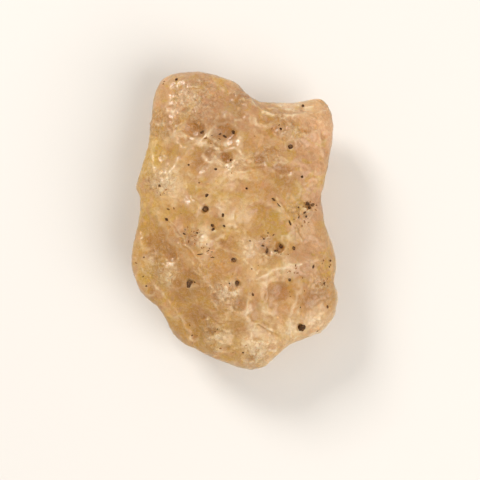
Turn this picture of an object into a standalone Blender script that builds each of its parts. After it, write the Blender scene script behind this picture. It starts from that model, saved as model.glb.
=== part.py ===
"""A piece of Libyan desert glass, lying on its flatter side.

It is natural silica glass, melted in one mass and then worn by blown sand: a flat, chipped lump
with a notched corner, broad worn facets, scooped hollows with ridges between them, and small deep
pits. It is one solid. +Y runs along its length, +Z is the pitted face that shows, and the origin is
under the middle of it, on the surface that it rests on.
"""

import math

import bmesh
import bpy
import numpy as np
from mathutils import Matrix, Vector, noise
from mathutils.bvhtree import BVHTree

# Every length below is in millimetres, until the finished mesh is scaled to metres.
MM = 0.001
LENGTH = 45.0
WIDTH = 31.2
THICKNESS = 13.6

# The rim seen from above, anticlockwise from the right-hand side, about the middle of the piece.
RIM = [
    (13.4, 0.3), (13.0, 2.8), (13.0, 5.4), (13.9, 8.4), (14.8, 12.1), (14.9, 15.4), (14.6, 17.2),
    (13.8, 18.4), (12.4, 18.8), (11.0, 18.5), (9.7, 18.15), (7.3, 18.2), (4.2, 18.3), (2.7, 18.35),
    (1.6, 19.7), (0.6, 20.9), (-1.1, 21.8), (-2.9, 22.1), (-6.0, 22.6), (-8.2, 22.5), (-10.1, 22.2),
    (-11.2, 21.5), (-12.0, 20.1), (-12.8, 15.2), (-13.7, 10.2), (-14.9, 6.2), (-15.25, 5.1),
    (-14.6, 3.9), (-14.5, 2.6), (-15.1, -2.4), (-15.6, -5.5), (-15.5, -7.4), (-14.9, -8.9),
    (-14.3, -10.5), (-12.9, -12.1), (-11.3, -13.3), (-10.3, -15.1), (-9.5, -17.2), (-8.3, -18.4),
    (-5.2, -19.8), (-2.6, -21.1), (-0.8, -21.8), (1.1, -22.3), (3.2, -22.5), (4.6, -22.2),
    (5.8, -21.3), (7.4, -19.6), (9.2, -18.3), (13.7, -16.3), (15.0, -14.9), (15.5, -12.9),
    (15.6, -10.7), (14.9, -9.2), (15.2, -8.3), (15.5, -6.1), (15.1, -4.0), (14.2, -1.8),
]

# How round the edge is in section: 1 is an ellipse, and less is squarer.
EDGE_ROUNDNESS = 0.58
SECTION_STEPS = 600
# The rim's corners are at their sharpest on the rim itself, and wear away from there: its small
# nicks up and down the edge, and its larger corners across the faces. Each is the rim's difference
# from its own mean over a number of degrees either way.
CORNER_REACH, CORNER_WEAR = 18, 5
NICK_REACH, NICK_FADE = 6, (0.05, 0.5)
MEAN_STEP = 3
# The corners lean to one side as they climb the edge: by this many degrees at a face's full height.
CORNER_LEAN = 8
# How the rim rolls up and down as it goes round: its height, times round, and start in radians.
RIM_ROLLS = [(0.8, 1, -2.3), (0.5, 2, -0.8), (0.3, 5, 0.4)]

# Worn facets of each face: the way it falls in degrees, how far from the middle it starts, its slope.
TOP_CREST = 6.7
TOP_FACETS = [
    (218, 8.6, 0.40), (0, 5.0, 0.18), (50, 15.6, 0.34), (276, 13.5, 0.26), (108, 16.0, 0.26),
    (168, 9.5, 0.26), (330, 9.0, 0.16),
]
UNDER_CREST = 7.4
UNDER_FACETS = [
    (25, 7.5, 0.32), (95, 13.0, 0.28), (150, 9.5, 0.32), (205, 9.0, 0.28), (262, 14.0, 0.34),
    (310, 11.0, 0.30),
]
# How softly the facets meet.
FACET_BLEND = 0.35

# The thin shelf right of the notch: where it starts, and how steeply it falls to the rim.
SHELF_LEFT, SHELF_SOFTNESS = 2.0, 1.4
SHELF_LINE, SHELF_SLOPE = 15.7, 0.50

# Scooped hollows: middle x and y, half length, depth, how stretched, and the way it is stretched.
TOP_HOLLOWS = [
    (-6.6, 13.5, 2.1, 0.80, 1.2, 20), (-1.8, 12.7, 2.4, 0.70, 1.2, -10), (-1.5, 9.3, 1.6, 0.60, 1.2, 30),
    (3.9, 8.8, 1.5, 0.50, 1.5, -25), (7.3, 7.1, 2.7, 0.50, 1.3, 5), (5.7, 14.3, 2.4, 0.60, 1.5, -8),
    (-7.3, 5.3, 3.0, 0.40, 1.2, 70), (-10.1, 10.8, 2.7, 0.35, 1.1, 60), (-5.6, 9.0, 2.6, 0.50, 1.3, 80),
    (3.6, 0.0, 3.2, 0.50, 1.1, 100), (5.0, -3.9, 2.2, 0.55, 1.2, 10), (6.3, -10.8, 2.7, 0.60, 1.1, 60),
    (11.9, -12.0, 2.8, 0.70, 1.1, 40), (3.2, -13.3, 2.2, 0.55, 1.4, 85), (-2.5, -3.3, 1.6, 0.45, 1.4, 0),
    (0.8, -12.2, 1.7, 0.60, 1.2, 110), (-4.5, -14.3, 1.3, 0.40, 1.4, 10), (-12.7, -3.2, 2.6, 0.50, 1.5, 75),
    (-9.4, -5.0, 1.9, 0.50, 1.2, 40), (-4.2, -0.4, 2.4, 0.45, 1.1, 0), (10.6, -2.9, 2.6, 0.50, 1.2, 30),
    (10.4, 11.0, 2.6, 0.50, 1.3, 10), (11.2, 3.6, 2.0, 0.40, 1.3, 80), (0.9, 4.4, 2.4, 0.45, 1.2, 0),
    (-3.2, -9.8, 2.2, 0.50, 1.5, 95), (-8.4, -12.0, 3.0, 0.55, 1.2, 130), (-5.6, -17.0, 2.0, 0.45, 1.4, 80),
    (-0.2, -16.6, 2.4, 0.60, 1.1, 20), (5.0, -16.6, 2.1, 0.55, 1.3, -15), (-7.4, 18.4, 2.6, 0.50, 1.3, 10),
    (-2.4, 17.8, 2.3, 0.40, 1.2, -20),
]
UNDER_HOLLOWS = [
    (-8.0, 14.0, 3.6, 0.90, 1.3, 60), (1.5, 13.0, 3.0, 0.80, 1.2, 10), (9.0, 12.0, 2.8, 0.80, 1.2, 80),
    (-11.0, 4.5, 3.0, 0.80, 1.3, 80), (10.5, 2.5, 3.1, 0.90, 1.3, 75), (-1.5, 5.0, 2.2, 0.55, 1.4, 20),
    (-12.0, -6.5, 3.0, 0.80, 1.2, 100), (11.5, -9.0, 3.4, 0.95, 1.2, 60), (-6.0, -14.5, 3.2, 0.85, 1.2, 140),
    (3.0, -17.5, 3.0, 0.75, 1.3, 10), (1.0, -3.5, 1.7, 0.40, 1.5, 60), (-3.5, -9.0, 2.1, 0.55, 1.2, 0),
    (5.5, -12.5, 2.0, 0.50, 1.2, 30), (-5.0, 19.0, 2.4, 0.60, 1.2, 10),
]
# Hollows and ridges fade out across the edge, from none at the rim, in shares of a face's height.
FACE_FADE = (0.15, 0.6)

# Ridges left standing between the hollows: height, half width, and the points they pass through.
TOP_RIDGES = [
    (0.42, 1.50, [(-1.4, 1.6), (-0.2, -1.4), (1.4, -4.0), (2.6, -6.5), (4.2, -8.9), (4.3, -11.7)]),
    (0.42, 0.75, [(-12.0, 1.6), (-11.1, 0.0), (-9.7, -2.7), (-7.3, -6.0), (-4.5, -8.3), (-3.6, -10.6)]),
    (0.26, 0.60, [(4.6, -7.6), (7.4, -6.7), (10.0, -6.0), (12.8, -5.4)]),
    (0.36, 0.80, [(9.6, -9.2), (8.9, -12.0), (8.2, -14.2), (7.3, -16.6)]),
    (0.42, 0.65, [(-7.6, 11.0), (-4.6, 11.7), (-2.0, 10.7), (0.4, 11.3)]),
    (0.42, 1.00, [(-6.6, 2.2), (-4.2, 4.3), (-1.4, 6.8), (1.0, 7.0), (2.8, 6.5)]),
    (0.35, 0.45, [(2.6, 17.6), (4.2, 16.3), (7.0, 15.6), (10.4, 15.9), (13.2, 15.2)]),
    (0.28, 0.90, [(0.8, 3.2), (2.4, 2.6), (4.6, 2.9), (6.2, 1.8)]),
]
UNDER_RIDGES = [
    (0.60, 0.90, [(-4.5, 16.0), (-3.6, 10.0), (-5.5, 5.0), (-6.0, -1.0)]),
    (0.50, 0.80, [(5.0, 9.0), (6.0, 4.0), (6.2, -2.0), (5.5, -8.0)]),
    (0.50, 0.80, [(-9.0, -10.5), (-4.5, -12.0), (0.5, -13.0), (6.5, -15.5)]),
]

# Low swellings on the face that shows: middle x and y, radius, height.
TOP_SWELLINGS = [
    (-10.4, 6.4, 2.0, 0.50), (-10.2, -7.6, 1.7, 0.50), (-3.1, -17.2, 1.8, 0.50), (4.2, -19.4, 2.2, 0.55),
    (-6.0, 20.0, 4.0, 0.45), (8.2, -0.6, 1.6, 0.30), (13.0, -2.6, 1.5, 0.30),
]

# Shell-shaped chips round the edge: the way each lies in degrees, its height above the middle, the
# radius of its curve, and how deep it bites.
CHIPS = [
    (12, -3.4, 7.0, 1.3), (44, -3.2, 5.0, 1.1), (68, -3.8, 6.0, 1.2), (97, -3.4, 5.5, 1.3),
    (126, -3.2, 7.0, 1.6), (152, -4.2, 5.0, 1.1), (171, -3.0, 4.5, 1.2), (196, -3.8, 6.5, 1.5),
    (221, -3.2, 5.0, 1.1), (240, -4.0, 6.5, 1.4), (268, -3.2, 5.5, 1.2), (296, -3.8, 6.0, 1.3),
    (322, -3.2, 5.0, 1.2), (344, -4.2, 6.0, 1.3), (139, 4.9, 5.0, 0.5), (183, 4.2, 5.0, 0.7),
    (246, 3.8, 5.0, 0.7),
]

# Nothing here runs dead straight: hollows and ridges wander by this much, over this size.
WANDER, WANDER_SIZE = 0.45, 2.6
WANDER_SEEDS = (4.2, 17.9)

# Waves in the whole surface: size across, height, and seed. The rim is calmer than the faces.
WAVES = [(11.0, 0.60, 80.3), (5.0, 0.26, 36.5)]
SCALLOP_SIZE, SCALLOP_DEPTH, SCALLOP_REACH = 3.1, 0.30, 0.75
SCALLOP_SEED = (3.7, 9.1, 5.5)
RIM_CALM = 0.5

# Deep pits: x, y, half length, half width, and the way they are stretched.
PITS = [
    (-4.4, 1.8, 0.62, 0.58, 60), (6.6, -3.8, 0.95, 0.55, 55), (9.9, -15.8, 0.66, 0.55, 15),
    (-6.7, -9.1, 0.75, 0.42, 80), (-0.2, -5.8, 0.55, 0.46, 120), (0.35, -9.15, 0.54, 0.46, 135),
    (8.2, 11.0, 0.46, 0.42, 0), (10.9, 2.4, 0.66, 0.48, 40), (-3.3, -1.0, 0.58, 0.38, 110),
    (-4.8, 13.1, 0.48, 0.28, 0), (-0.3, 13.2, 0.38, 0.34, 90), (10.1, 17.0, 0.34, 0.28, 80),
]
UNDER_PITS = [
    (-5.2, 7.4, 0.60, 0.50, 20), (4.1, 2.2, 0.55, 0.45, 70), (-1.8, -7.6, 0.62, 0.50, 130),
    (7.9, -5.6, 0.50, 0.40, 0), (-9.6, -2.4, 0.48, 0.40, 90), (2.2, 16.1, 0.52, 0.44, 40),
]
# How far a pit's middle lies below the face, and how deep it is round that, in its half widths.
PIT_SINK, PIT_DEPTH = 0.35, 1.1
PIT_DETAIL = 2

# How fine the first sphere is, how many faces are kept, and how much the flat base takes off.
SPHERE_DETAIL = 7
FACES_KEPT = 7700
BASE_CUT = 0.6

# Pale yellow glass, cloudy inside and sand-blasted outside.
GLASS_COLOUR = (0.72, 0.53, 0.27, 1)
GLASS_ROUGHNESS = 0.38
GLASS_IOR = 1.46
GLASS_CLEARNESS = 0.5


def eased(value, low, high):
    """0 below low, 1 above high, and a smooth rise between them."""
    t = np.clip((value - low) / (high - low), 0, 1)
    return t * t * (3 - 2 * t)


def rim_radius(angle):
    """Distance from the middle to the rim, at each angle: a smooth closed curve through RIM."""
    points = np.array(RIM)
    around = np.unwrap(np.arctan2(points[:, 1], points[:, 0]))
    reach = np.hypot(points[:, 0], points[:, 1])
    turn = 2 * math.pi
    around = np.concatenate([around[-2:] - turn, around, around[:2] + turn])
    reach = np.concatenate([reach[-2:], reach, reach[:2]])
    slope = np.gradient(reach, around)
    angle = around[1] + np.mod(angle - around[1], turn)
    i = np.clip(np.searchsorted(around, angle, side="right") - 1, 0, len(around) - 2)
    step = around[i + 1] - around[i]
    t = (angle - around[i]) / step
    return (
        (1 + 2 * t) * (1 - t) ** 2 * reach[i]
        + t * (1 - t) ** 2 * step * slope[i]
        + t * t * (3 - 2 * t) * reach[i + 1]
        + t * t * (t - 1) * step * slope[i + 1]
    )


def mean_radius(angle, degrees):
    """The rim's mean distance over some degrees either way of each angle."""
    turns = range(-degrees, degrees + 1, MEAN_STEP)
    return np.mean([rim_radius(angle + math.radians(turn)) for turn in turns], axis=0)


def worn_radius(angle, out, up, side):
    """The rim's distance, with its corners worn away across the faces and its nicks along the edge."""
    angle = angle + math.radians(CORNER_LEAN) * up * up * side
    broad = mean_radius(angle, CORNER_REACH)
    plain = mean_radius(angle, NICK_REACH)
    corners = (plain - broad) * out**CORNER_WEAR
    nicks = (rim_radius(angle) - plain) * (1 - eased(up, *NICK_FADE))
    return broad + corners + nicks


def section(share):
    """How far out and how high the edge's section is, for a share of the face's area from its middle."""
    swing = np.linspace(0, math.pi / 2, SECTION_STEPS)
    out = np.sin(swing) ** EDGE_ROUNDNESS
    up = np.cos(swing) ** EDGE_ROUNDNESS
    length = np.hypot(np.diff(out) * WIDTH / 2, np.diff(up) * THICKNESS / 2)
    area = np.concatenate([[0], np.cumsum(length * (out[1:] + out[:-1]))])
    swing = np.interp(share, area / area[-1], swing)
    return np.sin(swing) ** EDGE_ROUNDNESS, np.cos(swing) ** EDGE_ROUNDNESS


def face_height(x, y, crest, facets):
    """Height of a worn face above the rim: a level crest cut down by sloping facets."""
    total = np.exp(-np.full_like(x, crest) / FACET_BLEND)
    for azimuth, start, slope in facets:
        way = math.radians(azimuth)
        along = x * math.cos(way) + y * math.sin(way)
        total += np.exp(-(crest - slope * (along - start)) / FACET_BLEND)
    return -FACET_BLEND * np.log(total)


def waves(points, size, seed):
    """Smooth swells over the whole surface, from -1 to 1."""
    shift = Vector((seed, seed, -seed))
    return np.array([noise.noise(Vector(p) / size + shift) for p in points])


def wander(points):
    """Two smooth shifts for each point, from -1 to 1, that are the same in every run."""
    return [waves(points, WANDER_SIZE, seed) for seed in WANDER_SEEDS]


def hollow_depth(x, y, hollows):
    """The deepest of the scooped hollows at each point, so that neighbours meet in a ridge."""
    depth = np.zeros_like(x)
    for cx, cy, half_length, deep, stretch, turn in hollows:
        way = math.radians(turn)
        along = (x - cx) * math.cos(way) + (y - cy) * math.sin(way)
        across = (y - cy) * math.cos(way) - (x - cx) * math.sin(way)
        inside = 1 - (along / half_length) ** 2 - (across * stretch / half_length) ** 2
        depth = np.maximum(depth, deep * np.clip(inside, 0, 1))
    return depth


def ridge_height(x, y, ridges):
    """Height of the ridges at each point, from its distance to their lines."""
    height = np.zeros_like(x)
    for high, half_width, line in ridges:
        nearest = np.full_like(x, LENGTH)
        for (ax, ay), (bx, by) in zip(line, line[1:]):
            dx, dy = bx - ax, by - ay
            t = np.clip(((x - ax) * dx + (y - ay) * dy) / (dx * dx + dy * dy), 0, 1)
            nearest = np.minimum(nearest, np.hypot(x - ax - t * dx, y - ay - t * dy))
        height = np.maximum(height, high * np.exp(-((nearest / half_width) ** 2)))
    return height


def scallops(points):
    """Small round scoops side by side, 1 in the middle of each and 0 where they meet."""
    scoop = np.empty(len(points))
    for i, p in enumerate(points):
        distance = noise.voronoi(Vector(p) / SCALLOP_SIZE + Vector(SCALLOP_SEED))[0][0]
        scoop[i] = max(0.0, 1 - (distance / SCALLOP_REACH) ** 2)
    return scoop


def read(bm):
    return np.array([v.co for v in bm.verts])


def write(bm, points):
    for vertex, point in zip(bm.verts, points):
        vertex.co = point
    bm.normal_update()


def push(bm, amount):
    """Moves each vertex out along the surface's own direction."""
    normals = np.array([v.normal for v in bm.verts])
    write(bm, read(bm) + normals * amount[:, None])


def chip(bm, azimuth, height, radius, bite):
    """Takes a shell-shaped flake off the edge: what lies inside a ball is pressed back to its skin."""
    way = Vector((math.cos(math.radians(azimuth)), math.sin(math.radians(azimuth)), 0))
    start = way * LENGTH + Vector((0, 0, height))
    spot, normal, _, _ = BVHTree.FromBMesh(bm).ray_cast(start, -way)
    points = read(bm)
    away = points - np.array(spot + normal * (radius - bite))
    distance = np.linalg.norm(away, axis=1)
    press = np.clip(radius / distance - 1, 0, None)
    write(bm, points + away * press[:, None])


def worn_lump():
    """The whole piece before its base and pits are cut, as a bmesh made from a sphere."""
    bm = bmesh.new()
    bmesh.ops.create_icosphere(bm, subdivisions=SPHERE_DETAIL, radius=1)
    sphere = read(bm)
    angle = np.arctan2(sphere[:, 1], sphere[:, 0])
    top = sphere[:, 2] >= 0
    out, up = section(1 - np.abs(sphere[:, 2]))
    reach = out * worn_radius(angle, out, up, np.sign(sphere[:, 2]))
    x, y = reach * np.cos(angle), reach * np.sin(angle)
    upper = face_height(x, y, TOP_CREST, TOP_FACETS)
    shelf = eased(x, SHELF_LEFT, SHELF_LEFT + SHELF_SOFTNESS) * np.clip(y - SHELF_LINE, 0, None)
    upper -= SHELF_SLOPE * shelf
    lower = -face_height(x, y, UNDER_CREST, UNDER_FACETS)
    rim = sum(high * np.cos(times * angle + start) for high, times, start in RIM_ROLLS)
    write(bm, np.stack([x, y, rim + up * (np.where(top, upper, lower) - rim)], axis=1))

    points = read(bm)
    dx, dy = WANDER * np.array(wander(points))
    above = ridge_height(x + dx, y + dy, TOP_RIDGES) - hollow_depth(x + dx, y + dy, TOP_HOLLOWS)
    for cx, cy, radius, high in TOP_SWELLINGS:
        above += high * np.exp(-((x - cx) ** 2 + (y - cy) ** 2) / radius**2)
    below = ridge_height(x + dx, y + dy, UNDER_RIDGES) - hollow_depth(x + dx, y + dy, UNDER_HOLLOWS)
    on_face = eased(up, *FACE_FADE)
    push(bm, on_face * np.where(top, above, below))

    for flake in CHIPS:
        chip(bm, *flake)

    points = read(bm)
    swell = sum(high * waves(points, size, seed) for size, high, seed in WAVES)
    swell += SCALLOP_DEPTH * (0.5 - scallops(points))
    push(bm, swell * (RIM_CALM + (1 - RIM_CALM) * on_face))
    return bm


def pit_cutter(lump, pits, side):
    """One mesh of rough little balls, set in the face of the lump that looks up or down."""
    surface = BVHTree.FromBMesh(lump)
    bm = bmesh.new()
    for x, y, half_length, half_width, turn in pits:
        start = Vector((x, y, side * THICKNESS))
        spot, normal, _, _ = surface.ray_cast(start, Vector((0, 0, -side)))
        made = bmesh.ops.create_icosphere(bm, subdivisions=PIT_DETAIL, radius=1)["verts"]
        stand = normal.to_track_quat("Z", "Y").to_matrix().to_4x4()
        place = Matrix.Translation(spot - normal * half_width * PIT_SINK) @ stand
        shape = Matrix.Diagonal((half_length, half_width, half_width * PIT_DEPTH, 1))
        turned = Matrix.Rotation(math.radians(turn), 4, "Z") @ shape
        bmesh.ops.transform(bm, matrix=place @ turned, verts=made)
    return bm


def base_cutter(lump):
    """A block that takes off the lowest bumps, so that the piece lies steady on a flat worn base."""
    low = read(lump)[:, 2].min()
    bm = bmesh.new()
    bmesh.ops.create_cube(bm, size=1)
    place = Matrix.Translation((0, 0, low + BASE_CUT - THICKNESS / 2))
    shape = Matrix.Diagonal((2 * WIDTH, 2 * LENGTH, THICKNESS, 1))
    bmesh.ops.transform(bm, matrix=place @ shape, verts=bm.verts)
    return bm


def add_object(name, bm, collection):
    mesh = bpy.data.meshes.new(name)
    bm.to_mesh(mesh)
    made = bpy.data.objects.new(name, mesh)
    collection.objects.link(made)
    return made


def cut(stone, cutter):
    cutter.hide_render = True
    cutter.display_type = "WIRE"
    modifier = stone.modifiers.new(cutter.name, "BOOLEAN")
    modifier.operation = "DIFFERENCE"
    modifier.solver = "EXACT"
    modifier.object = cutter


def finish_mesh(stone):
    """Applies the cuts, and gives the piece its size in metres and its base and middle at the origin."""
    bpy.context.view_layer.update()
    shaped = stone.evaluated_get(bpy.context.evaluated_depsgraph_get())
    mesh = bpy.data.meshes.new_from_object(shaped)
    stone.modifiers.clear()
    stone.data = mesh
    points = np.array([v.co for v in mesh.vertices])
    low, high = points.min(axis=0), points.max(axis=0)
    size = np.array([WIDTH, LENGTH, THICKNESS]) * MM / (high - low)
    middle = [(low[0] + high[0]) / 2, (low[1] + high[1]) / 2, low[2]]
    mesh.transform(Matrix.Diagonal((*size, 1)) @ Matrix.Translation([-m for m in middle]))
    mesh.name = stone.name
    mesh.shade_smooth()


def glass_material():
    material = bpy.data.materials.new("desert_glass")
    material.use_nodes = True
    shader = material.node_tree.nodes["Principled BSDF"]
    shader.inputs["Base Color"].default_value = GLASS_COLOUR
    shader.inputs["Roughness"].default_value = GLASS_ROUGHNESS
    shader.inputs["Metallic"].default_value = 0
    shader.inputs["IOR"].default_value = GLASS_IOR
    shader.inputs["Transmission Weight"].default_value = GLASS_CLEARNESS
    return material


def clear_scene():
    for old in list(bpy.data.objects):
        bpy.data.objects.remove(old)


def main():
    clear_scene()
    piece = bpy.data.collections.new("libyan_desert_glass")
    cutters = bpy.data.collections.new("cutters")
    for collection in (piece, cutters):
        bpy.context.scene.collection.children.link(collection)

    lump = worn_lump()
    stone = add_object("desert_glass", lump, piece)
    thinner = stone.modifiers.new("worn_facets", "DECIMATE")
    thinner.ratio = FACES_KEPT / len(lump.faces)
    cut(stone, add_object("base_cutter", base_cutter(lump), cutters))
    cut(stone, add_object("pit_cutter", pit_cutter(lump, PITS, 1), cutters))
    cut(stone, add_object("under_pit_cutter", pit_cutter(lump, UNDER_PITS, -1), cutters))
    finish_mesh(stone)
    stone.data.materials.clear()
    stone.data.materials.append(glass_material())


main()
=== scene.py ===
import math
import random

import bmesh
import bpy
import numpy as np
from mathutils import Matrix, Vector, noise
from mathutils.bvhtree import BVHTree


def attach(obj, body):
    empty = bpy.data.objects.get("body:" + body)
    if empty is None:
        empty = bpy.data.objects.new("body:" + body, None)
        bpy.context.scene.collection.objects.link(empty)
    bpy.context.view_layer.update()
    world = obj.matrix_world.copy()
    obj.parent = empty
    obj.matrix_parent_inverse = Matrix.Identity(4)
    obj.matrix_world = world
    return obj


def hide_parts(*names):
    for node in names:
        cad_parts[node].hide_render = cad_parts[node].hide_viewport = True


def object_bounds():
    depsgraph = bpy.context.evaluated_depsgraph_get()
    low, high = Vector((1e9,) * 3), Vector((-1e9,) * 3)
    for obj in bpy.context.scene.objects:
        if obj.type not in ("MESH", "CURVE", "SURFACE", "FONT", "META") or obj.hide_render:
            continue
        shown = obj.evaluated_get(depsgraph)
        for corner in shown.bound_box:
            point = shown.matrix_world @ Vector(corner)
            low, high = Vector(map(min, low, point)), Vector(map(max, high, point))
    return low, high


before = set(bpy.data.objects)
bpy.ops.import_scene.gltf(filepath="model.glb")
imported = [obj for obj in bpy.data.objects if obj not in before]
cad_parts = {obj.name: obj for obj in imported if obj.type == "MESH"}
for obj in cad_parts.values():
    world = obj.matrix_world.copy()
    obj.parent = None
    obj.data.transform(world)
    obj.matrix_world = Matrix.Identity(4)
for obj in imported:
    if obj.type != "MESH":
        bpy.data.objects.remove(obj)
cad_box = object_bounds()


# The camera looks straight down on the piece, as the photograph does, from about 20 cm above it.
# The photograph is 480 px wide, shows 6.61 px to the millimetre at the height of the rim, and has the
# middle of the piece at PIECE_PX. Sizes in this script are in millimetres, which MM makes metres.
MM = 0.001
PX_PER_MM = 6.61
PHOTO_SIDE = 480
PIECE_PX = (235.3, 221.5)
RIM_HEIGHT = 6.8
LENS, SENSOR = 100.0, 36.0
NEAREST_SEEN, FARTHEST_SEEN = 10, 10000


def from_photo(px, py):
    """Where a point of the photograph lies, in millimetres from the middle of the piece."""
    return (px - PIECE_PX[0]) / PX_PER_MM, (PIECE_PX[1] - py) / PX_PER_MM


def placed(name, data):
    """A new object in the scene."""
    made = bpy.data.objects.new(name, data)
    bpy.context.scene.collection.objects.link(made)
    return made


camera_data = bpy.data.cameras.new("camera")
camera_data.lens = LENS
camera_data.sensor_width = SENSOR
camera_data.clip_start = NEAREST_SEEN * MM
camera_data.clip_end = FARTHEST_SEEN * MM
camera = placed("camera", camera_data)
look_x, look_y = from_photo(PHOTO_SIDE / 2, PHOTO_SIDE / 2)
distance = PHOTO_SIDE / PX_PER_MM * LENS / SENSOR
camera.location = Vector((look_x, look_y, RIM_HEIGHT + distance)) * MM
bpy.context.scene.camera = camera


# The piece of glass: natural silica glass, melted in one mass and worn by blown sand. Its form is
# the solid's own. Its skin is rippled and hammered all over by the sand, and pitted where it was
# softer, so the solid's mesh is merged, made finer, and given that skin.
WELD = 0.002
VOXEL = 0.18
FACET_SMOOTHING, SMOOTHING_STEP = 7, 0.5
TRIANGLES_KEPT = 188000

# Scoops side by side, and raised creases: size, depth or height, and seed. Each pattern bends by a
# share of its own size. Its mean is taken off it, so that the skin moves neither in nor out.
RIPPLES = [(2.3, 0.10, 11.0), (1.2, 0.15, 23.0), (0.7, 0.17, 37.0)]
RIPPLE_REACH, RIPPLE_BEND, RIPPLE_MEAN = 0.8, 0.35, 0.5
CREASES = [(1.7, 0.08, 5.0), (0.8, 0.18, 31.0)]
CREASE_STRETCH, CREASE_BEND, CREASE_SHARPNESS, CREASE_MEAN = 0.6, 0.5, 4, 0.3
FROST_SIZE, FROST_DEPTH, FROST_SEED = 0.42, 0.03, 0.0
# How rough the skin is changes over this size, by this much. The sides are half crinkled.
UNEVEN_SIZE, UNEVEN_SEED, UNEVENNESS = 4.0, 9.0, 0.5
SIDES_CRINKLED = 0.5
SMOOTHEST = 0.35
# Wider scoops on the sides and underneath: size, depth and seed, and the height that they end at.
# All the relief of the skin dies away towards the flat base.
SIDE_SCOOPS = [(3.6, 0.42, 53.0), (1.9, 0.20, 71.0)]
SIDE_TOP, SIDE_FADE = 5.8, 1.6
BASE_FADE = 0.5
# The pitted face lies above this height, and the painted highlight on the rounded rim lies within this
# band of the rim.
FACE_FROM = 5.4
RIM_BAND = 1.6

# Parts of the face that are crinkled, with smoother glass between them: the point in the
# photograph, the radius, and the strength. All such points are read off the photograph.
CRINKLED_PARTS = [
    (200, 98, 4.2, 1.0), (178, 130, 2.2, 0.8), (163, 185, 2.2, 1.0), (193, 238, 2.4, 1.0),
    (160, 258, 3.2, 0.8), (172, 275, 2.4, 0.9), (228, 288, 2.6, 1.0), (238, 303, 2.0, 1.0),
    (212, 333, 3.2, 0.9), (255, 350, 3.4, 1.0), (285, 130, 3.0, 0.8), (315, 128, 2.4, 0.7),
    (320, 283, 2.4, 0.9), (228, 165, 2.4, 0.8), (275, 155, 3.0, 0.6), (300, 212, 1.8, 0.9),
    (215, 262, 3.0, 0.6), (265, 250, 2.6, 0.6), (240, 98, 2.6, 0.6), (318, 322, 2.0, 0.6),
    (195, 118, 2.6, 0.8), (155, 125, 2.6, 0.8), (330, 300, 1.8, 0.5), (215, 145, 1.6, 0.8),
]

# Small scoops, each brown inside, partly as dust and partly as painted shade, with a raised lip on the
# side away from the notched end that is painted pale as a highlight: the point in the photograph, the
# half length and half width, the depth, and the turn in degrees.
SCOOPS = [
    (197, 132, 1.9, 1.35, 0.34, -8), (224, 136, 2.3, 1.5, 0.30, 6), (226, 160, 1.25, 0.95, 0.30, -15),
    (212, 156, 1.1, 0.9, 0.24, 30), (205, 317, 0.65, 0.38, 0.22, 8), (240, 303, 1.5, 1.2, 0.26, -30),
    (181, 93, 0.34, 0.24, 0.16, 0), (204, 94, 0.34, 0.26, 0.16, 30), (198, 101, 0.30, 0.24, 0.14, 0),
    (187, 112, 0.7, 0.5, 0.16, 20), (178, 125, 0.8, 0.6, 0.18, -20), (264, 122, 1.5, 0.9, 0.24, -10),
    (303, 133, 1.1, 0.55, 0.22, 0), (323, 138, 0.75, 0.6, 0.20, 40), (271, 153, 1.2, 0.6, 0.22, -25),
    (258, 161, 1.0, 0.8, 0.24, -20), (283, 171, 1.6, 0.9, 0.26, -10), (310, 299, 1.9, 1.5, 0.12, 35),
    (278, 291, 1.7, 1.4, 0.12, 0), (173, 256, 1.0, 0.8, 0.24, 0), (149, 241, 1.2, 0.9, 0.20, 60),
    (232, 286, 0.9, 0.7, 0.20, 0), (216, 297, 0.6, 0.9, 0.18, 20), (213, 330, 1.2, 0.9, 0.22, 20),
    (257, 336, 1.0, 0.7, 0.22, -20), (226, 346, 0.9, 0.5, 0.20, 10), (250, 357, 0.8, 0.6, 0.22, 0),
    (270, 346, 0.8, 0.7, 0.20, 0), (194, 336, 0.6, 0.5, 0.18, 0), (318, 284, 0.9, 0.5, 0.18, 20),
    (215, 236, 1.1, 0.6, 0.20, 10), (222, 242, 0.9, 0.5, 0.18, 15), (193, 243, 0.8, 0.6, 0.18, 0),
    (165, 178, 0.6, 0.5, 0.16, 30), (174, 196, 0.5, 0.4, 0.14, 0), (160, 123, 0.6, 0.45, 0.18, 30),
    (154, 137, 0.5, 0.35, 0.16, 20), (171, 111, 0.6, 0.5, 0.16, 0), (240, 118, 1.1, 0.7, 0.20, 20),
    (247, 171, 0.9, 0.5, 0.18, 10), (300, 146, 0.7, 0.5, 0.16, 0), (280, 248, 0.8, 0.7, 0.22, 50),
    (267, 251, 0.6, 0.8, 0.20, 20), (307, 206, 0.7, 0.7, 0.20, 0), (152, 290, 0.8, 0.6, 0.16, 30),
    (178, 283, 0.9, 0.7, 0.16, 0), (290, 147, 0.7, 0.6, 0.18, 0), (268, 303, 0.7, 1.1, 0.16, 0),
]
DEEPEST = max(depth for _, _, _, _, depth, _ in SCOOPS)
# The lip's height, and its place, width and reach as shares of the scoop.
LIP_HEIGHT, LIP_PLACE, LIP_WIDTH, LIP_REACH = 0.07, 1.10, 0.34, 0.35
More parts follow.
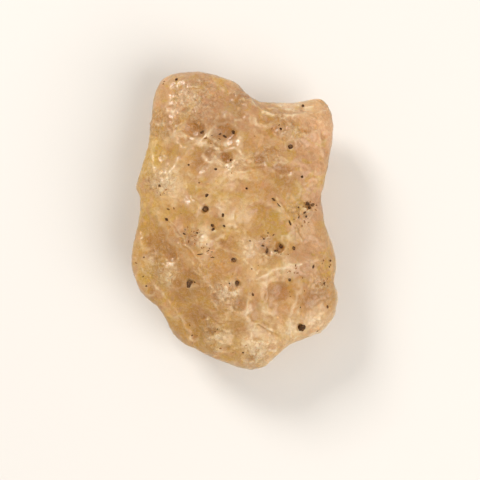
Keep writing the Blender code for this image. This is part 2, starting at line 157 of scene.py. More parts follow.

# Long creases: the points in the photograph that each passes through, the half width, the height,
# and how pale it is, which is a painted highlight along the crease.
LONG_CREASES = [
    ([(250, 102), (256, 108), (262, 114), (275, 118), (292, 118), (310, 116), (326, 112)],
     0.18, 0.16, 0.9),
    ([(263, 106), (288, 107), (316, 109)], 0.10, 0.06, 0.5),
    ([(268, 111), (293, 112), (321, 112)], 0.10, 0.06, 0.5),
    ([(274, 199), (283, 210), (292, 225), (300, 241)], 0.14, 0.08, 0.6),
    ([(250, 280), (262, 275), (273, 270), (291, 264), (306, 262)], 0.15, 0.09, 0.6),
    ([(296, 290), (292, 306), (288, 318), (290, 340)], 0.18, 0.12, 0.55),
    ([(254, 321), (263, 325), (276, 331)], 0.18, 0.14, 0.7),
    ([(267, 284), (265, 296), (268, 308)], 0.18, 0.08, 0.5),
    ([(163, 214), (173, 222), (182, 234), (189, 246), (196, 257), (207, 268)], 0.18, 0.12, 0.6),
    ([(208, 215), (200, 205), (189, 201)], 0.14, 0.07, 0.6),
    ([(248, 290), (246, 305), (250, 318)], 0.16, 0.08, 0.5),
    ([(216, 152), (226, 150), (236, 152), (244, 158)], 0.22, 0.10, 0.7),
    ([(172, 226), (182, 242), (192, 258), (202, 272), (212, 286)], 0.12, 0.07, 0.5),
    ([(214, 247), (232, 250), (248, 262), (256, 272)], 0.14, 0.07, 0.5),
    ([(268, 207), (262, 222), (266, 236)], 0.13, 0.06, 0.5),
    ([(144, 268), (160, 290), (176, 308), (188, 330)], 0.14, 0.08, 0.5),
    ([(282, 344), (296, 336), (312, 334), (330, 326)], 0.14, 0.08, 0.6),
    ([(228, 88), (240, 100), (250, 112), (256, 124)], 0.13, 0.06, 0.5),
]
# The scoops and creases stray this far, over this distance, so that they don't run true.
BEND, BEND_SIZE = 0.35, 1.1

# Whitish clouds in the glass, brown in the hollows that is partly dust and partly painted shade,
# pink that is painted light showing through the glass from behind, and yellower parts of it: the
# point in the photograph, the radius, and the strength.
WHITE_CLOUDS = [
    (172, 186, 2.6, 0.9), (230, 176, 2.6, 0.6), (235, 217, 2.0, 0.7), (224, 206, 1.8, 0.5),
    (250, 252, 2.2, 0.6), (258, 273, 2.2, 0.6), (190, 101, 1.5, 0.6), (206, 236, 1.8, 0.8),
    (291, 330, 2.4, 0.8), (256, 344, 2.8, 0.9), (222, 334, 2.0, 0.6), (170, 275, 1.7, 0.7),
    (225, 290, 1.5, 0.9), (241, 301, 1.6, 0.6), (318, 322, 2.2, 0.6), (178, 112, 1.3, 0.5),
    (171, 141, 1.0, 0.7), (199, 141, 1.2, 0.8), (222, 148, 1.4, 0.5), (215, 155, 0.9, 0.7),
    (283, 268, 1.6, 0.6), (262, 345, 2.2, 0.6), (275, 322, 1.8, 0.5), (240, 165, 1.4, 0.7),
    (285, 165, 1.3, 0.4), (150, 262, 1.2, 0.4), (262, 312, 1.6, 0.4), (285, 107, 1.8, 0.6),
    (304, 108, 1.8, 0.5), (266, 362, 1.8, 0.5),
]
HOLLOW_DUST_AND_SHADE = [
    (194, 131, 2.2, 1.0), (224, 131, 2.8, 1.0), (206, 158, 2.4, 0.8), (160, 246, 3.0, 0.8),
    (310, 300, 2.0, 1.0), (174, 258, 1.8, 0.9), (194, 322, 3.0, 0.6), (283, 180, 2.4, 0.7),
    (261, 163, 1.2, 0.7), (283, 121, 2.4, 0.7), (303, 133, 1.6, 0.5), (216, 110, 1.8, 0.5),
    (279, 292, 1.8, 0.9), (260, 247, 2.2, 0.9), (190, 285, 2.4, 0.7), (218, 282, 2.0, 0.5),
    (240, 330, 1.6, 0.5), (255, 350, 1.0, 0.5), (270, 345, 1.2, 0.4), (151, 300, 1.8, 0.5),
    (262, 330, 1.4, 0.5), (224, 157, 1.0, 0.8), (232, 255, 1.4, 0.5), (165, 130, 1.4, 0.5),
    (262, 247, 0.9, 0.9), (254, 244, 0.7, 0.7), (309, 207, 1.0, 0.8), (191, 271, 1.2, 0.8),
    (293, 271, 1.0, 0.8), (192, 237, 1.2, 0.6), (273, 125, 1.0, 0.8), (196, 136, 1.8, 1.0),
    (215, 292, 2.4, 0.6), (240, 350, 2.0, 0.4), (318, 300, 2.8, 0.8), (326, 200, 1.4, 0.4),
    (198, 92, 3.0, 0.45), (268, 232, 1.2, 0.3), (237, 106, 2.0, 0.9),
]
PAINTED_PINK_LIGHT = [
    (205, 100, 6.0, 1.0), (237, 110, 4.2, 1.0), (318, 135, 5.0, 1.0), (285, 110, 4.0, 0.9),
    (322, 205, 3.2, 1.0), (305, 250, 3.4, 0.7), (190, 80, 3.0, 0.6), (300, 165, 3.8, 1.0),
]
YELLOW_PARTS = [
    (152, 156, 3.2, 1.0), (140, 215, 3.4, 1.0), (270, 228, 3.0, 1.0), (245, 350, 4.0, 0.8),
    (160, 320, 6.0, 0.6), (205, 335, 4.0, 0.7), (150, 280, 4.0, 0.6), (215, 200, 3.6, 0.3),
    (285, 235, 2.0, 0.8), (265, 360, 3.0, 0.6), (290, 195, 2.4, 0.5),
]
# The edges of these parts stray this far, over this distance, so that they are drawn out in wisps.
WISP, WISP_SIZE = 1.1, 2.2

# A vertex lies in a hollow when it is under the mean of its neighbourhood: the rounds of averaging,
# and the depth that counts as deep, for fine and for wide hollows.
FINE_ROUNDS, FINE_DEEP = 8, 0.05
WIDE_ROUNDS, WIDE_DEEP = 70, 0.35

# Three places in the noise, which are far enough apart to have nothing in common.
DRIFT_PLACES = [Vector((9.3, -1.5, -7.9)), Vector((0.4, 5.2, 3.1)), Vector((6.3, 0.2, -2.7))]


def read(bm):
    """The places of the vertices."""
    return np.array([v.co for v in bm.verts])


def read_normals(bm):
    """The directions that the skin faces at the vertices."""
    return np.array([v.normal for v in bm.verts])


def write(bm, points):
    """Moves the vertices to these places."""
    for vertex, point in zip(bm.verts, points):
        vertex.co = point
    bm.normal_update()


def sample(function, points):
    """What the function gives at each point."""
    return np.array([function(Vector(p)) for p in points.tolist()])


def on_face(points):
    """Whether each point is on the pitted face."""
    return points[:, 2] > FACE_FROM


def drift(p):
    """A smooth shift in each of the three directions, the same in every run."""
    return Vector([noise.noise(p + place) for place in DRIFT_PLACES])


def strayed(points, reach, size):
    """Where each point lies, seen from above, when it has strayed a little at random."""
    return points[:, :2] + sample(lambda p: drift(p / size)[:2], points) * reach


def merged_copy(node):
    """The solid's mesh in millimetres, with its loose triangles joined."""
    bm = bmesh.new()
    bm.from_mesh(node.data)
    bmesh.ops.scale(bm, vec=(1 / MM, 1 / MM, 1 / MM), verts=bm.verts)
    bmesh.ops.remove_doubles(bm, verts=bm.verts, dist=WELD)
    return bm


def modified(bm, kind, **settings):
    """The mesh with one modifier applied to it."""
    mesh = bpy.data.meshes.new("unmodified")
    bm.to_mesh(mesh)
    bm.free()
    holder = placed("unmodified", mesh)
    modifier = holder.modifiers.new("only", kind)
    for name, value in settings.items():
        setattr(modifier, name, value)
    bm = bmesh.new()
    bm.from_mesh(holder.evaluated_get(bpy.context.evaluated_depsgraph_get()).to_mesh())
    bpy.data.objects.remove(holder)
    bpy.data.meshes.remove(mesh)
    return bm


def waves(points, size, seed):
    """Smooth swells, from -1 to 1."""
    shift = Vector((seed, seed, seed))
    return sample(lambda p: noise.noise(p / size + shift), points)


def ripple(points, size, seed):
    """Small scoops side by side, 1 in the middle of each and 0 where they meet in a sharp edge."""
    shift = Vector((seed, 2 * seed, -seed))

    def scoop(p):
        bend = drift(p / size) * RIPPLE_BEND
        nearest = noise.voronoi(p / size + bend + shift)[0][0]
        return max(0.0, 1 - (nearest / RIPPLE_REACH) ** 2)

    return sample(scoop, points)


def crease(points, size, seed):
    """Thin raised creases, 1 on each and falling to 0 between them."""
    shift = Vector((seed, -seed, seed))

    def line(p):
        bend = drift(p / size + shift) * CREASE_BEND
        drawn = Vector((p.x * CREASE_STRETCH, p.y, p.z)) / size
        return (1 - abs(noise.noise(drawn + bend - shift))) ** CREASE_SHARPNESS

    return sample(line, points)


def patches(places, spots):
    """How much each place lies in the patches, from 0 to 1."""
    x, y = places.T
    amount = np.zeros(len(places))
    for px, py, radius, strength in spots:
        cx, cy = from_photo(px, py)
        near = np.exp(-((x - cx) ** 2 + (y - cy) ** 2) / radius**2)
        amount = np.maximum(amount, strength * near)
    return amount


def scooped(places):
    """The scoops' depth at each place, how much it lies inside one, and how much on a lip that is
    painted pale as a highlight.
    """
    x, y = places.T
    depth, inside, lip = np.zeros((3, len(x)))
    for px, py, half_length, half_width, deep, turn in SCOOPS:
        cx, cy = from_photo(px, py)
        way = math.radians(turn)
        along = ((x - cx) * math.cos(way) + (y - cy) * math.sin(way)) / half_length
        across = ((y - cy) * math.cos(way) - (x - cx) * math.sin(way)) / half_width
        out = np.hypot(along, across)
        bowl = np.clip(1 - out**2, 0, 1)
        brim = np.exp(-(((out - LIP_PLACE) / LIP_WIDTH) ** 2))
        brim *= np.clip(LIP_REACH - (y - cy) / half_width, 0, 1)
        depth = np.maximum(depth, deep * bowl)
        inside = np.maximum(inside, bowl * deep / DEEPEST)
        lip = np.maximum(lip, brim * deep / DEEPEST)
    return depth, inside, lip


def creased(places):
    """The long creases' height at each place, and how pale it is there, as a painted highlight."""
    x, y = places.T
    height, pale = np.zeros((2, len(x)))
    for line, half_width, high, paleness in LONG_CREASES:
        nearest = np.full(len(x), np.inf)
        spots = [from_photo(px, py) for px, py in line]
        for (ax, ay), (bx, by) in zip(spots, spots[1:]):
            dx, dy = bx - ax, by - ay
            along = np.clip(((x - ax) * dx + (y - ay) * dy) / (dx * dx + dy * dy), 0, 1)
            away = np.hypot(x - ax - along * dx, y - ay - along * dy)
            nearest = np.minimum(nearest, away)
        here = np.exp(-((nearest / half_width) ** 2))
        height = np.maximum(height, high * here)
        pale = np.maximum(pale, paleness * here)
    return height, pale


def hollowness(bm, rounds):
    """How far each vertex lies under its neighbourhood's mean: above 0 in hollows."""
    points = read(bm)
    edges = np.array([[v.index for v in e.verts] for e in bm.edges])
    ends = np.concatenate([edges[:, 0], edges[:, 1]])
    others = np.concatenate([edges[:, 1], edges[:, 0]])
    count = np.bincount(ends, minlength=len(points))
    mean = points.copy()
    for _ in range(rounds):
        mean = np.stack([
            np.bincount(ends, weights=mean[others, axis], minlength=len(points)) / count
            for axis in range(3)
        ], axis=1)
    return ((mean - points) * read_normals(bm)).sum(axis=1)


bm = modified(merged_copy(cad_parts["desert_glass"]), "REMESH", mode="VOXEL", voxel_size=VOXEL)
for _ in range(FACET_SMOOTHING):
    bmesh.ops.smooth_vert(
        bm, verts=bm.verts, factor=SMOOTHING_STEP, use_axis_x=True, use_axis_y=True, use_axis_z=True
    )
bm.normal_update()
points = read(bm)
uneven = waves(points, UNEVEN_SIZE, UNEVEN_SEED)
face = on_face(points)
face_rough = patches(strayed(points, WISP, WISP_SIZE), CRINKLED_PARTS)
side_rough = np.clip(SIDES_CRINKLED + uneven, 0, 1)
rough = np.clip(np.where(face, face_rough, side_rough) + UNEVENNESS * uneven, SMOOTHEST, 1)
skin = np.zeros(len(points))
for size, depth, seed in RIPPLES:
    skin -= depth * (ripple(points, size, seed) - RIPPLE_MEAN)
for size, height, seed in CREASES:
    skin += height * (crease(points, size, seed) - CREASE_MEAN)
skin += FROST_DEPTH * waves(points, FROST_SIZE, FROST_SEED)
skin *= rough
places = strayed(points, BEND, BEND_SIZE)
depth, _, lip = scooped(places)
height, _ = creased(places)
skin += np.where(face, height - depth + lip * LIP_HEIGHT, 0)
low_down = np.clip((SIDE_TOP - points[:, 2]) / SIDE_FADE, 0, 1)
for size, depth, seed in SIDE_SCOOPS:
    skin -= low_down * depth * ripple(points, size, seed)
skin *= np.clip(points[:, 2] / BASE_FADE, 0, 1)
write(bm, points + read_normals(bm) * skin[:, None])

# The flatter parts need fewer triangles. The roughness rides along as a vertex layer. The piece keeps
# the solid's own length, width and thickness.
layer = bm.verts.layers.float.new("crinkled")
for vertex, amount in zip(bm.verts, rough):
    vertex[layer] = amount
bmesh.ops.triangulate(bm, faces=bm.faces)
bm = modified(bm, "DECIMATE", ratio=TRIANGLES_KEPT / len(bm.faces))
points = read(bm)
low, high = points.min(axis=0), points.max(axis=0)
cad_low, cad_high = np.array(cad_box[0]) / MM, np.array(cad_box[1]) / MM
points = cad_low + (points - low) / (high - low) * (cad_high - cad_low)
write(bm, points)

# Each vertex keeps how much it has of each look, for the material.
face = on_face(points)
steepness = 1 - np.abs(read_normals(bm)[:, 2])
near_rim = np.exp(-(((points[:, 2] - RIM_HEIGHT) / RIM_BAND) ** 2))
places = strayed(points, BEND, BEND_SIZE)
_, inside, lip = scooped(places)
_, pale = creased(places)
places = strayed(points, WISP, WISP_SIZE)
# The rim's edge and the lips carry painted highlights; the hollows carry painted highlights on ridges
# and painted shade.
marks = {
    "edge": steepness * near_rim,
    "cloud": patches(places, WHITE_CLOUDS),
    "brown_and_painted_shade": patches(places, HOLLOW_DUST_AND_SHADE),
    "pink": patches(places, PAINTED_PINK_LIGHT),
    "yellow": patches(places, YELLOW_PARTS),
    "lip": np.where(face, np.maximum(lip, pale), 0),
    "scooped": np.where(face, inside, 0),
    "fine_hollow": np.clip(hollowness(bm, FINE_ROUNDS) / FINE_DEEP, -1, 1),
    "wide_hollow": np.clip(hollowness(bm, WIDE_ROUNDS) / WIDE_DEEP, -1, 1),
}
write(bm, points * MM)

glass_mesh = bpy.data.meshes.new("worn_glass")
bm.to_mesh(glass_mesh)
bm.free()
glass_mesh.shade_smooth()
for name, values in marks.items():
    kept = glass_mesh.attributes.new(name, "FLOAT", "POINT")
    kept.data.foreach_set("value", values.astype("f"))
worn_glass = placed("worn_glass", glass_mesh)
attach(worn_glass, "root")
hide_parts("desert_glass")


# The glass itself: pale yellow, cloudy and frosted. It is clear enough to let light through it, with
# milky wisps, yellower parts, pink light painted where it shows through from behind, brown in the
# hollows that is partly dust and partly painted shade, and painted highlights on the ridges, lips,
# creases and rim.
TAN = (0.84, 0.51, 0.135)
PINK = (0.86, 0.51, 0.30)
YELLOW = (0.84, 0.58, 0.08)
BROWN = (0.58, 0.28, 0.058)
MILKY = (0.90, 0.74, 0.49)
GLASS_IOR = 1.46
CLEAREST, MILKIEST = 0.70, 0.45
SMOOTH_GLASS, ROUGH_GLASS = 0.34, 0.46
GLASS_SETTINGS = {
    "IOR": GLASS_IOR,
    "Coat IOR": GLASS_IOR,
    "Coat Weight": 0.36,
    "Coat Roughness": 0.17,
    "Subsurface Weight": 0.25,
    "Subsurface Radius": (1.0, 0.75, 0.45),
    "Subsurface Scale": 0.3 * MM,
}
CRINKLE_HEIGHT, CRINKLE_STRENGTH = 0.14, 0.8
ABSORBED, ABSORPTION = (1.0, 0.88, 0.62), 40
# How strongly each colour shows, from 0 to 1, in the parts of the glass that have it.
YELLOW_MOTTLES, PINK_MOTTLES = 0.75, 0.6
# The brown in the scoops and the wide hollows is partly dust and partly painted shade.
SCOOP_DUST_AND_SHADE, BROWN_WISPS, WIDE_HOLLOW_DUST_AND_SHADE, BROWN_FLECKS = 0.7, 0.35, 0.3, 0.25
# The milky lips, ridges and rim are painted highlights.
PAINTED_LIP_HIGHLIGHT, PAINTED_RIDGE_HIGHLIGHT, MILKY_WISPS, PAINTED_RIM_HIGHLIGHT = 0.75, 0.25, 0.28, 0.8
LEFT_IN_SCOOPS = 0.25
# The same for the threads, where the glass is smooth and where it is crinkled.
PALE_THREADS, DARK_THREADS = (0.20, 0.75), (0.20, 0.80)


def new_material(name):
    """A new material, with its nodes, its links and its shader."""
    material = bpy.data.materials.new(name)
    material.use_nodes = True
    tree = material.node_tree
    return material, tree.nodes, tree.links, tree.nodes["Principled BSDF"]


glass_material, nodes, links, shader = new_material("cloudy_glass")


def plug(socket, value):
    """Links a node's output to the socket, or sets the socket to a number or a colour."""
    if isinstance(value, bpy.types.NodeSocket):
        links.new(value, socket)
    elif isinstance(value, tuple) and socket.type == "RGBA":
        socket.default_value = (*value, 1)
    else:
        socket.default_value = value


def attribute(name):
    """A value that is kept at the mesh's vertices."""
    node = nodes.new("ShaderNodeAttribute")
    node.attribute_name = name
    return node.outputs["Fac"]


def math_node(operation, a, b=0.0, clamp=False):
    """The outcome of one operation on two values."""
    node = nodes.new("ShaderNodeMath")
    node.operation = operation
    node.use_clamp = clamp
    plug(node.inputs[0], a)
    plug(node.inputs[1], b)
    return node.outputs[0]


def times(a, b):
    """One amount times another."""
    return math_node("MULTIPLY", a, b)


def total(amount, *others):
    """Several amounts added up, and 1 at most."""
    for other in others:
        amount = math_node("ADD", amount, other, clamp=True)
    return amount


def mixed(amount, a, b):
    """The first colour, with this much of the second mixed in."""
    node = nodes.new("ShaderNodeMix")
    node.data_type = "RGBA"
    plug(node.inputs["Factor"], amount)
    plug(node.inputs["A"], a)
    plug(node.inputs["B"], b)
    return node.outputs["Result"]


def spread(value, low, high, to_low=0.0, to_high=1.0):
    """A value from low to high, laid out smoothly from to_low to to_high."""
    node = nodes.new("ShaderNodeMapRange")
    node.interpolation_type = "SMOOTHSTEP"
    plug(node.inputs["Value"], value)
    node.inputs["From Min"].default_value = low
    node.inputs["From Max"].default_value = high
    node.inputs["To Min"].default_value = to_low
    node.inputs["To Max"].default_value = to_high
    return node.outputs["Result"]


def mottle(size, detail, distortion, stretch=(1, 1, 1)):
    """Noise about this many millimetres across, through the body of the glass."""
    where = nodes.new("ShaderNodeMapping")
    where.inputs["Scale"].default_value = [s / (size * MM) for s in stretch]
    links.new(nodes.new("ShaderNodeTexCoord").outputs["Object"], where.inputs["Vector"])
    node = nodes.new("ShaderNodeTexNoise")
    node.inputs["Scale"].default_value = 1
    node.inputs["Detail"].default_value = detail
    node.inputs["Distortion"].default_value = distortion
    links.new(where.outputs["Vector"], node.inputs["Vector"])
    return node.outputs["Fac"]


NOISE_MIDDLE = 0.5


def threads(value, half_width):
    """Thin winding lines: 1 where the value crosses its middle."""
    away = math_node("ABSOLUTE", math_node("SUBTRACT", value, NOISE_MIDDLE))
    return spread(away, 0.0, half_width, to_low=1.0, to_high=0.0)


# Noise lies mostly from 0.3 to 0.7, so a spread from 0.54 to 0.68 picks out its highest parts, and one
# from 0.46 to 0.34 its lowest.
wisps = mottle(size=1.7, detail=4, distortion=1.2)
streaks = mottle(size=1.1, detail=4, distortion=0.8, stretch=(1.0, 0.35, 1.0))
flecks = mottle(size=0.6, detail=2, distortion=0.5)
tinge = mottle(size=2.6, detail=3, distortion=1.5)
pale_threads = threads(mottle(size=0.85, detail=1, distortion=1.6), half_width=0.07)
dark_threads = threads(mottle(size=1.05, detail=1, distortion=1.4), half_width=0.05)
crinkled = attribute("crinkled")

# Tan glass, yellower in broad parts and in smaller mottles, and pinker in smaller mottles. The broad
# pink parts are painted light showing through the glass from behind.
colour = mixed(attribute("pink"), TAN, PINK)
colour = mixed(attribute("yellow"), colour, YELLOW)
colour = mixed(spread(tinge, 0.52, 0.64, to_high=YELLOW_MOTTLES), colour, YELLOW)
colour = mixed(spread(tinge, 0.48, 0.34, to_high=PINK_MOTTLES), colour, PINK)

# Brown lies in the hollows and the scoops, partly as dust and partly as painted shade, and in wisps.
brown_and_painted_shade = total(
    times(attribute("brown_and_painted_shade"), spread(wisps, 0.30, 0.55, to_low=0.4)),
    times(attribute("scooped"), SCOOP_DUST_AND_SHADE),
    spread(wisps, 0.46, 0.34, to_high=BROWN_WISPS),
    spread(attribute("wide_hollow"), 0.1, 1.0, to_high=WIDE_HOLLOW_DUST_AND_SHADE),
)
colour = mixed(brown_and_painted_shade, colour, BROWN)

# The glass is milky in clouds and in wisps. Painted highlights in the same milky colour lie on the
# scoops' lips, the creases, the ridges, and the rounded rim where it catches the light. Little of
# either shows inside the scoops.
milk_and_highlight = total(
    times(attribute("cloud"), spread(streaks, 0.32, 0.52, to_low=0.4)),
    times(attribute("lip"), spread(wisps, 0.40, 0.58, to_low=0.05, to_high=PAINTED_LIP_HIGHLIGHT)),
    spread(attribute("fine_hollow"), -0.3, -1.0, to_high=PAINTED_RIDGE_HIGHLIGHT),
    spread(wisps, 0.54, 0.68, to_high=MILKY_WISPS),
    spread(attribute("edge"), 0.45, 0.85, to_high=PAINTED_RIM_HIGHLIGHT),
)
milk_and_highlight = times(milk_and_highlight, spread(attribute("scooped"), 0.1, 0.8, to_low=1.0, to_high=LEFT_IN_SCOOPS))
colour = mixed(milk_and_highlight, colour, MILKY)

# Pale threads, painted highlights on the crinkles, and dark threads run through it, mostly where it
# is crinkled, and small flecks lie all over.
colour = mixed(times(pale_threads, spread(crinkled, 0.1, 0.9, *PALE_THREADS)), colour, MILKY)
colour = mixed(times(dark_threads, spread(crinkled, 0.1, 0.9, *DARK_THREADS)), colour, BROWN)
colour = mixed(spread(flecks, 0.58, 0.72, to_high=BROWN_FLECKS), colour, BROWN)
plug(shader.inputs["Base Color"], colour)
plug(shader.inputs["Transmission Weight"], spread(milk_and_highlight, 0.0, 1.0, CLEAREST, MILKIEST))
plug(shader.inputs["Roughness"], spread(flecks, 0.3, 0.7, SMOOTH_GLASS, ROUGH_GLASS))
for name, value in GLASS_SETTINGS.items():
    plug(shader.inputs[name], value)

# The finest crinkles are too small for the mesh.
swells = mottle(size=0.8, detail=2, distortion=1.2)
raised_threads = times(pale_threads, spread(crinkled, 0.2, 0.9, to_low=0.1))
raised_swells = times(swells, spread(crinkled, 0.2, 0.9, to_low=0.4, to_high=1.6))
crinkles = math_node("ADD", raised_threads, raised_swells)
bump = nodes.new("ShaderNodeBump")
plug(bump.inputs["Strength"], CRINKLE_STRENGTH)
plug(bump.inputs["Distance"], CRINKLE_HEIGHT * MM)
plug(bump.inputs["Height"], crinkles)
plug(shader.inputs["Normal"], bump.outputs["Normal"])
absorb = nodes.new("ShaderNodeVolumeAbsorption")
plug(absorb.inputs["Color"], ABSORBED)
plug(absorb.inputs["Density"], ABSORPTION)
links.new(absorb.outputs["Volume"], nodes["Material Output"].inputs["Volume"])
glass_mesh.materials.append(glass_material)


# The dust and iron-stained clay that is packed into the pits: small dark lumps, the largest over a
# millimetre across, each set in the skin of the glass where the photograph shows one.
# The point in the photograph, the length and the width, and the turn in degrees.
LUMPS = [
    (206.5, 209.6, 1.30, 1.20, 30), (300.6, 326.3, 1.40, 1.10, 0), (190.6, 281.6, 1.45, 0.85, 85),
    (234.1, 259.6, 1.00, 0.85, -40), (237.6, 282.0, 1.00, 0.85, -30), (289.4, 148.8, 0.85, 0.75, 0),
    (280.4, 245.9, 1.00, 0.65, 40), (275.0, 250.4, 0.60, 0.40, 20), (305.8, 204.4, 0.75, 0.60, 20),
    (311.0, 205.6, 0.55, 0.45, 60), (308.4, 208.6, 0.60, 0.45, 0), (213.2, 225.6, 0.50, 0.50, 0),
    (214.0, 229.8, 0.65, 0.50, 30), (203.3, 134.9, 0.90, 0.38, 8), (225.1, 138.6, 0.65, 0.32, -30),
    (233.7, 134.5, 0.72, 0.55, 80), (302.2, 107.6, 0.55, 0.42, 80), (279.8, 131.4, 0.42, 0.38, 0),
    (300.4, 178.4, 0.40, 0.38, 0), (168.6, 220.0, 0.55, 0.40, 110), (161.6, 187.1, 0.45, 0.40, 0),
    (207.8, 196.7, 0.55, 0.40, 60), (223.5, 216.1, 0.55, 0.38, 90), (224.7, 226.3, 0.38, 0.34, 0),
    (246.5, 189.8, 0.36, 0.34, 0), (266.0, 250.8, 1.00, 0.36, 75), (262.0, 245.5, 0.50, 0.34, -20),
    (292.4, 248.2, 0.58, 0.45, 100), (272.5, 200.6, 0.60, 0.32, -35), (288.6, 223.3, 0.85, 0.28, 110),
    (297.0, 208.4, 0.30, 0.28, 0), (303.1, 213.1, 0.45, 0.32, 40), (304.6, 217.0, 0.36, 0.28, 80),
    (297.0, 218.0, 0.36, 0.24, 60), (185.7, 233.9, 0.46, 0.26, -30), (198.4, 233.1, 0.32, 0.28, 0),
    (200.4, 184.5, 0.28, 0.24, 0), (190.0, 166.9, 0.32, 0.28, 0), (216.3, 171.2, 0.46, 0.32, 0),
    (231.2, 162.0, 0.48, 0.26, 60), (177.6, 82.0, 0.46, 0.42, 0), (252.4, 292.7, 0.52, 0.30, 110),
    (288.4, 278.8, 0.46, 0.42, 0), (311.8, 266.1, 0.60, 0.32, 80), (329.2, 260.6, 0.38, 0.36, 0),
    (328.2, 266.5, 0.24, 0.22, 0), (326.5, 306.1, 0.46, 0.42, 0), (263.1, 239.0, 0.30, 0.26, 0),
    (267.3, 233.1, 0.24, 0.22, 0), (249.6, 240.8, 0.24, 0.22, 0), (323.0, 282.4, 0.42, 0.26, 20),
    (195.9, 281.0, 0.32, 0.26, 0), (229.8, 282.0, 0.22, 0.20, 0), (220.4, 136.5, 0.42, 0.30, 20),
    (277.5, 206.0, 0.80, 0.16, -50), (201.2, 253.9, 0.90, 0.15, 6), (213.9, 256.9, 0.80, 0.15, 12),
    (209.0, 250.5, 0.50, 0.14, 25), (164.9, 83.0, 0.24, 0.22, 0), (145.5, 257.0, 0.24, 0.22, 40),
    (147.5, 285.5, 0.32, 0.24, 0), (192.4, 334.5, 0.28, 0.22, 60), (243.0, 350.8, 0.30, 0.22, 80),
    (317.0, 330.4, 0.40, 0.22, 10), (218.0, 327.0, 0.20, 0.18, 0), (299.0, 306.0, 0.24, 0.20, 0),
]
# Each lump's depth and how far its middle lies above the skin, as shares of its width and its depth.
LUMP_DEPTH, LUMP_RISE = 0.55, 0.15
# Its bumps: how many there are across it, and their height as a share of its own size.
WIDE_BUMPS, WIDE_BUMP_HEIGHT = 3.1, 0.32
FINE_BUMPS, FINE_BUMP_HEIGHT = 8.0, 0.16
# The noise that shapes a lump starts at a place of its own, this much further on for each millimetre.
NOISE_STEP = 3
# Loose clusters of the finest grains: the point, the radius of the cluster, and how many.
CLUSTERS = [
    (308.0, 207.0, 1.1, 18), (300.0, 220.0, 1.2, 9), (266.0, 241.0, 1.6, 8), (192.0, 236.0, 1.5, 14),
    (163.0, 191.0, 0.9, 6), (176.0, 212.0, 1.2, 4), (206.0, 253.0, 1.6, 7), (293.0, 272.0, 1.1, 7),
    (326.0, 264.0, 1.0, 4), (323.0, 283.0, 0.8, 6), (176.0, 92.0, 2.2, 5), (214.0, 138.0, 1.4, 5),
    (232.0, 167.0, 1.4, 3), (281.0, 249.0, 1.2, 8), (240.0, 270.0, 4.0, 6), (200.0, 330.0, 3.5, 4),
    (300.0, 300.0, 3.5, 4), (270.0, 140.0, 3.0, 4), (235.0, 345.0, 3.0, 4), (150.0, 270.0, 2.5, 4),
]
# Their widths, and the length of the longest as a share of its width.
FINEST, FINE, LONGEST = 0.08, 0.26, 2.2
# How pale the grains are: the large lumps are the darkest, at 0.
FINE_DARKEST, FINE_PALEST = 0.3, 1.3
DUST_SEED = 29
# Lumps longer than this are made finer.
LARGE = 0.5
LARGE_DETAIL, SMALL_DETAIL, FINEST_DETAIL = 4, 3, 2
# The skin is found from this height, straight down.
HIGH_ABOVE = 4 * RIM_HEIGHT
CLAY_DARK = (0.055, 0.025, 0.009)
CLAY_LIGHT = (0.36, 0.17, 0.055)
CLAY_SPECULAR = 0.2


def skin_tree(mesh):
    """The mesh as a tree that a ray can be cast at."""
    bm = bmesh.new()
    bm.from_mesh(mesh)
    tree = BVHTree.FromBMesh(bm)
    bm.free()
    return tree


dust = bmesh.new()
pale = dust.verts.layers.float.new("pale")
glass_skin = skin_tree(glass_mesh)
random.seed(DUST_SEED)


def add_lump(x, y, length, width, turn, detail, shade):
    """One rough lump of clay, partly sunk in the skin of the glass at x and y."""
    start = Vector((x, y, HIGH_ABOVE)) * MM
    spot, normal, _, _ = glass_skin.ray_cast(start, Vector((0, 0, -1)))
    if spot is None:
        return
    made = bmesh.ops.create_icosphere(dust, subdivisions=detail, radius=0.5)["verts"]
    shift = Vector((x, y, length)) * NOISE_STEP
    for vertex in made:
        vertex[pale] = shade
        vertex.co *= 1 + WIDE_BUMP_HEIGHT * noise.noise(vertex.co * WIDE_BUMPS + shift)
        vertex.co *= 1 + FINE_BUMP_HEIGHT * noise.noise(vertex.co * FINE_BUMPS - shift)
    depth = width * LUMP_DEPTH
    ahead = (Vector((1, 0, 0)) - normal * normal.x).normalized()
    stand = Matrix((ahead, normal.cross(ahead), normal)).transposed().to_4x4()
    place = Matrix.Translation(spot + normal * depth * LUMP_RISE * MM) @ stand
    shape = Matrix.Diagonal((length * MM, width * MM, depth * MM, 1))
    turned = Matrix.Rotation(math.radians(turn), 4, "Z") @ shape
    bmesh.ops.transform(dust, matrix=place @ turned, verts=made)
    for vertex in made:
        vertex.co.z = min(vertex.co.z, cad_high[2] * MM)


for px, py, length, width, turn in LUMPS:
    x, y = from_photo(px, py)
    add_lump(x, y, length, width, turn, LARGE_DETAIL if length > LARGE else SMALL_DETAIL, 0)
for px, py, radius, count in CLUSTERS:
    middle_x, middle_y = from_photo(px, py)
    for _ in range(count):
        way = random.uniform(0, math.tau)
        out = radius * math.sqrt(random.random())
        width = random.uniform(FINEST, FINE)
        x, y = middle_x + out * math.cos(way), middle_y + out * math.sin(way)
        length = width * random.uniform(1.0, LONGEST)
        shade = random.uniform(FINE_DARKEST, FINE_PALEST)
        add_lump(x, y, length, width, math.degrees(way), FINEST_DETAIL, shade)

dust_mesh = bpy.data.meshes.new("pit_dust")
dust.to_mesh(dust_mesh)
dust.free()
dust_mesh.shade_smooth()
pit_dust = placed("pit_dust", dust_mesh)
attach(pit_dust, "root")

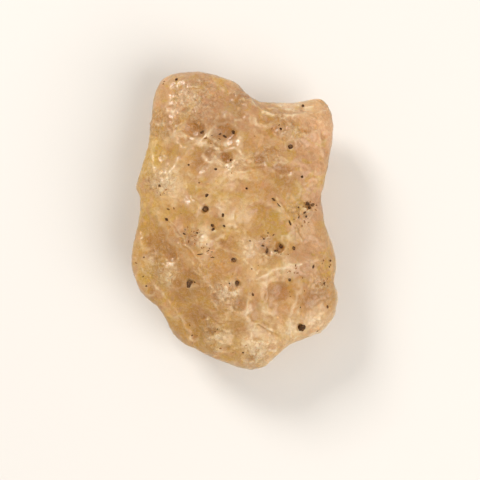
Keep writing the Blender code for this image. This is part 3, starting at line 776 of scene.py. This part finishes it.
clay_material, nodes, links, shader = new_material("dark_clay")
blotches = mottle(size=0.30, detail=4, distortion=0.5)
specks = mottle(size=0.2, detail=2, distortion=0.0)
dusty = total(spread(blotches, 0.42, 0.70, to_high=0.5), attribute("pale"))
plug(shader.inputs["Base Color"], mixed(dusty, CLAY_DARK, CLAY_LIGHT))
plug(shader.inputs["Roughness"], spread(specks, 0.3, 0.7, to_low=0.45, to_high=0.8))
plug(shader.inputs["Specular IOR Level"], CLAY_SPECULAR)
dust_mesh.materials.append(clay_material)


# The floor is a plain pale sheet. The key lamp stands beyond the notched end and to the left of the
# piece, and a larger and softer one fills in from the other side.
FLOOR_SIDE = 1200
FLOOR_COLOUR = (0.66, 0.64, 0.61)
FLOOR_ROUGHNESS = 0.7
# The lamps' places and sides, their power in watts, and their colours.
LAMPS = {
    "key": ((-380, 480, 420), 240, 4.4, (1.0, 0.97, 0.93)),
    "fill": ((420, -280, 520), 600, 5.0, (1.0, 0.95, 0.90)),
}
STUDIO_COLOUR, STUDIO_STRENGTH = (1.0, 0.97, 0.94), 0.52

bm = bmesh.new()
bmesh.ops.create_grid(bm, x_segments=1, y_segments=1, size=FLOOR_SIDE * MM / 2)
floor_mesh = bpy.data.meshes.new("floor")
bm.to_mesh(floor_mesh)
bm.free()
floor = placed("floor", floor_mesh)
floor_material, nodes, links, shader = new_material("floor_sheet")
plug(shader.inputs["Base Color"], FLOOR_COLOUR)
plug(shader.inputs["Roughness"], FLOOR_ROUGHNESS)
floor_mesh.materials.append(floor_material)

for name, (place, side, watts, colour) in LAMPS.items():
    lamp = bpy.data.lights.new(name, "AREA")
    lamp.shape = "SQUARE"
    lamp.size = side * MM
    lamp.energy = watts
    lamp.color = colour
    holder = placed(name, lamp)
    holder.location = Vector(place) * MM
    holder.rotation_euler = (-Vector(place)).to_track_quat("-Z", "Y").to_euler()
world = bpy.data.worlds.new("studio")
world.use_nodes = True
background = world.node_tree.nodes["Background"]
plug(background.inputs["Color"], STUDIO_COLOUR)
plug(background.inputs["Strength"], STUDIO_STRENGTH)
bpy.context.scene.world = world
bpy.context.scene.view_settings.view_transform = "Standard"
